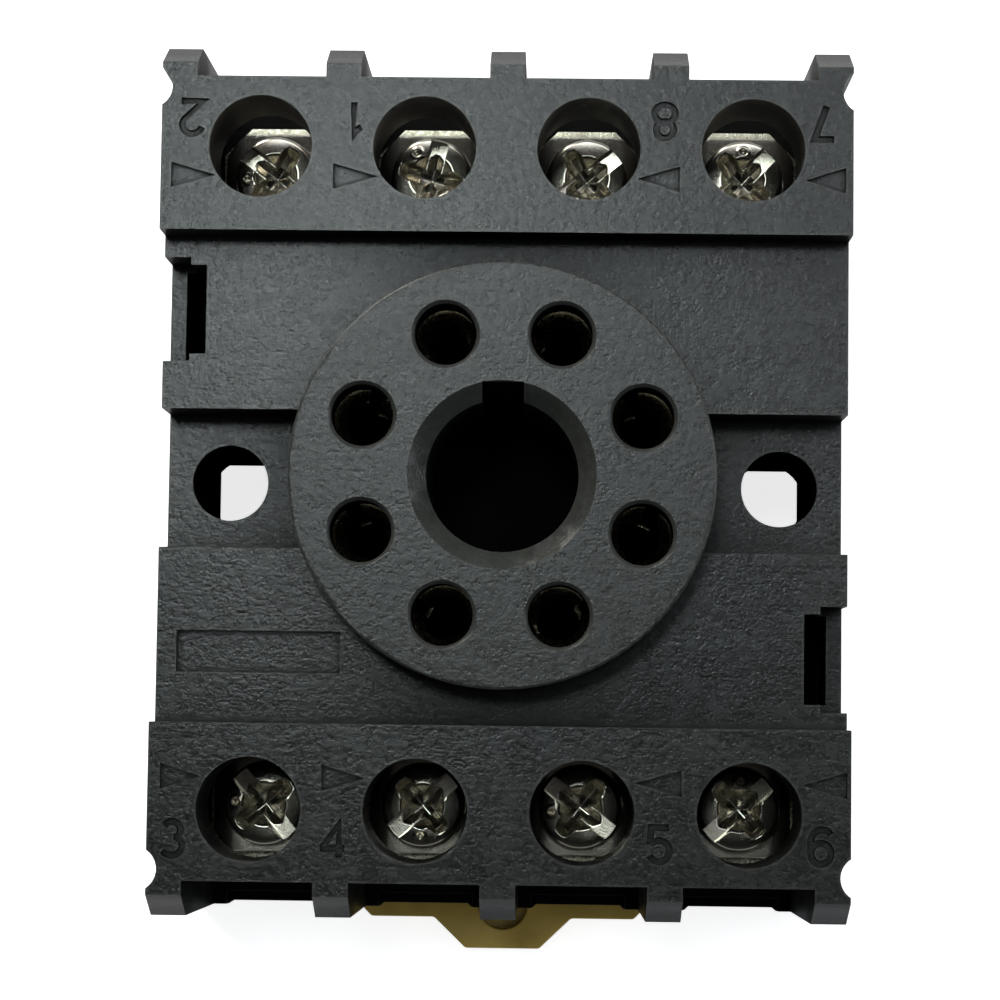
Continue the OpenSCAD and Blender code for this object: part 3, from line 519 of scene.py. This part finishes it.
def washer_mesh():
    """One saddle about its screw's axis: rings from the hole over the top, round the rim and back below."""
    w = WASHER
    steps, across = 144, 14
    bm = bmesh.new()

    def ring(share, z, edge):
        made = []
        for s in range(steps):
            turn = 2 * math.pi * s / steps
            c, q = math.cos(turn), math.sin(turn)
            inner, outer = w["hole"] + edge, washer_rim(c, q) - edge
            r = inner + (outer - inner) * share
            made.append(bm.verts.new((r * c / 1000, r * q / 1000, (z + washer_lift(r * c)) / 1000)))
        return made

    shares = [i / across for i in range(across + 1)]
    top, below = w["thick"], 0.0
    # the rings with no edge are the tops and feet of the upright walls, in the hole and round the rim
    rings = [ring(0, top - w["edge"], 0)]
    rings += [ring(share, top, w["edge"]) for share in shares]
    rings += [ring(1, top - w["edge"], 0), ring(1, below + w["edge"], 0)]
    rings += [ring(share, below, w["edge"]) for share in shares[::-1]]
    rings += [ring(0, below + w["edge"], 0)]
    for i, here in enumerate(rings):
        there = rings[(i + 1) % len(rings)]
        for s in range(steps):
            n = (s + 1) % steps
            bm.faces.new((here[s], here[n], there[n], there[s]))
    bmesh.ops.recalc_face_normals(bm, faces=bm.faces)
    mesh = bpy.data.meshes.new("clamp_saddle")
    bm.to_mesh(mesh)
    bm.free()
    mesh.materials.append(nickel_steel)
    mesh.shade_smooth()
    mesh.set_sharp_from_angle(angle=math.radians(38))
    return mesh


saddle = washer_mesh()
for k in range(1, 9):
    low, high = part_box(f"clamp_washer_{k}")
    piece = bpy.data.objects.new(f"saddle_{k}", saddle)
    piece.location = ((low.x + high.x) / 2, (low.y + high.y) / 2, low.z)
    scene.collection.objects.link(piece)
    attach(piece, f"clamp_{k}")
    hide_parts(f"clamp_washer_{k}")


# ---------------------------------------------------------------- terminal screws
# M3.5 pan head screws, cold headed and thread rolled from steel, nickel plated.
# The head has a full slot with a cross recess pressed into it, and a small
# dimple from the header between two wings of the cross.

# the head, in millimetres: its radius and height, where its dome ends in a rounded
# edge, how much it crowns, the slot and its dish, the cross recess's pit and wings,
# and the header's dimple; then the thread
SCREW = {"head_r": 2.62, "head_h": 2.3, "edge_r": 2.22, "edge_round": 0.26, "crown": 0.045,
         "slot_half": 0.5, "slot_floor": 1.2, "dish": 0.06, "pit": 0.5, "wing_half": 0.4, "wing_long": 1.62,
         "dimple_at": 1.8, "dimple_r": 0.26, "dimple_deep": 0.2, "soft": 0.16,
         "major": 1.75, "minor": 1.42, "pitch": 0.6, "length": 6.0}
# how far each screw happens to be turned, in degrees from the slot along X
TURNED = {1: 76, 2: 143, 3: 130, 4: 222, 5: 142, 6: 42, 7: 45, 8: 218}


def head_height(u, v, r):
    """The head's top above its seat: a pan dome less the slot along u, the cross recess and the dimple."""
    s = SCREW
    dome = s["head_h"] - s["crown"] * min(r, s["edge_r"]) ** 2
    past = r - s["edge_r"]
    if past > 0:
        # the rounded edge goes on from the dome's slope, then comes the steep side
        start = 0.2
        turn = min(1.0, start + past / s["edge_round"])
        dome -= s["edge_round"] * (math.sqrt(1 - start * start) - math.sqrt(1 - turn * turn))
        dome -= 10.5 * max(0.0, past - (1 - start) * s["edge_round"])
    # the slot is dished, so its two ends lean in, and its walls stand nearly upright
    cut = s["slot_floor"] + s["dish"] * (abs(u) - s["wing_long"])
    cut += 14 * max(0.0, abs(v) - s["slot_half"])
    for along, beside in ((abs(u), abs(v)), (abs(v), abs(u))):
        # a wing of the cross: a shallow valley with steep walls, that runs out steeply at its tip
        valley = s["pit"] + 0.14 * along + 0.6 * max(0.0, along - 0.75)
        valley += 1.7 * max(0.0, along - s["wing_long"])
        wall = 0.5 * max(0.0, beside - 0.05) + 5.0 * max(0.0, beside - s["wing_half"])
        cut = min(cut, valley + wall)
    # the petals between the wings are one cone about the pit
    cut = min(cut, s["pit"] + 0.12 + 1.75 * max(0.0, r - 0.38))
    # pressed edges come out rounded
    blend = max(s["soft"] - abs(dome - cut), 0.0) / s["soft"]
    z = min(dome, cut) - blend * blend * s["soft"] * 0.25
    # the dimple lies between two wings, and has a low lip round it
    middle = s["dimple_at"] * math.sqrt(0.5)
    away = math.hypot(u - middle, v - middle) / s["dimple_r"]
    if away < 2.2:
        z += 0.05 * math.exp(-((away - 1.25) * s["dimple_r"] / 0.09) ** 2)
        z -= s["dimple_deep"] * max(0.0, 1 - away * away)
    return z


def screw_mesh():
    """One screw about its axis. The head's top is a grid: along the slot within, and round at the rim."""
    s = SCREW
    wide = s["head_r"]
    # the grid's lines, closer together where the wings' and the slot's walls stand
    lines = [0, 0.05, 0.1, 0.16, 0.22, 0.27, 0.31, 0.36, 0.42, 0.47, 0.5, 0.52, 0.55, 0.58, 0.63, 0.69]
    while lines[-1] < wide - 0.09:
        lines.append(lines[-1] + 0.062)
    lines[-1] = wide
    lines = [-x for x in lines[:0:-1]] + lines
    n = len(lines)
    bm = bmesh.new()
    grid = []
    for v in lines:
        row = []
        for u in lines:
            most = max(abs(u), abs(v))
            far = math.hypot(u, v)
            # squares near the middle, circles at the rim
            pull = (most / wide) ** 3
            scale = 1 - pull + pull * most / far if far else 1
            x, y = u * scale, v * scale
            r = math.hypot(x, y)
            row.append(bm.verts.new((x / 1000, y / 1000, max(0.15, head_height(u, v, r)) / 1000)))
        grid.append(row)
    for j in range(n - 1):
        for i in range(n - 1):
            bm.faces.new((grid[j][i], grid[j][i + 1], grid[j + 1][i + 1], grid[j + 1][i]))
    rim = ([grid[0][i] for i in range(n - 1)] + [grid[j][n - 1] for j in range(n - 1)]
           + [grid[n - 1][i] for i in range(n - 1, 0, -1)] + [grid[j][0] for j in range(n - 1, 0, -1)])

    def ring(angles, place):
        return [bm.verts.new(Vector(place(a)) / 1000) for a in angles]

    def bridge(a, b):
        for i in range(len(a)):
            k = (i + 1) % len(a)
            bm.faces.new((a[i], b[i], b[k], a[k]))

    angles = [math.atan2(v.co.y, v.co.x) for v in rim]
    lower = ring(angles, lambda a: (wide * math.cos(a), wide * math.sin(a), 0.1))
    bridge(rim, lower)
    seat = ring(angles, lambda a: ((wide - 0.1) * math.cos(a), (wide - 0.1) * math.sin(a), 0.0))
    bridge(lower, seat)
    last = ring(angles[::4], lambda a: (s["major"] * math.cos(a), s["major"] * math.sin(a), 0.0))
    for i, now in enumerate(last):
        bm.faces.new([now] + [seat[(4 * i + q) % len(seat)] for q in range(5)] + [last[(i + 1) % len(last)]])
    # the rolled thread: crest and root go round with the pitch, and both run out near the head and the tip
    levels = int(s["length"] / s["pitch"] * 8)
    for j in range(1, levels + 1):
        z = -s["length"] * j / levels

        def thread(a, z=z):
            turn = (-z / s["pitch"] + a / (2 * math.pi)) % 1
            crest = max(0.0, 1 - abs(turn - 0.5) * 3.2)
            fade = min(1.0, -z / 0.5, (s["length"] + z) / 0.45 + 0.15)
            r = s["minor"] + (s["major"] - s["minor"]) * min(1.0, crest * 1.35) * max(0.0, fade)
            r -= 0.35 * max(0.0, 1 - (s["length"] + z) / 0.45)
            return (r * math.cos(a), r * math.sin(a), z)

        now = ring(angles[::4], thread)
        bridge(last, now)
        last = now
    bm.faces.new(last[::-1])
    bmesh.ops.recalc_face_normals(bm, faces=bm.faces)
    mesh = bpy.data.meshes.new("pan_head_screw")
    bm.to_mesh(mesh)
    bm.free()
    mesh.materials.append(nickel_steel)
    mesh.shade_smooth()
    mesh.set_sharp_from_angle(angle=math.radians(50))
    return mesh


pan_head = screw_mesh()
for k in range(1, 9):
    low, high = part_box(f"terminal_screw_{k}")
    seat_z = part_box(f"clamp_washer_{k}")[1].z
    piece = bpy.data.objects.new(f"pan_head_screw_{k}", pan_head)
    piece.location = ((low.x + high.x) / 2, (low.y + high.y) / 2, seat_z)
    piece.rotation_euler = (0, 0, math.radians(TURNED[k]))
    scene.collection.objects.link(piece)
    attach(piece, f"screw_{k}")
    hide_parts(f"terminal_screw_{k}")
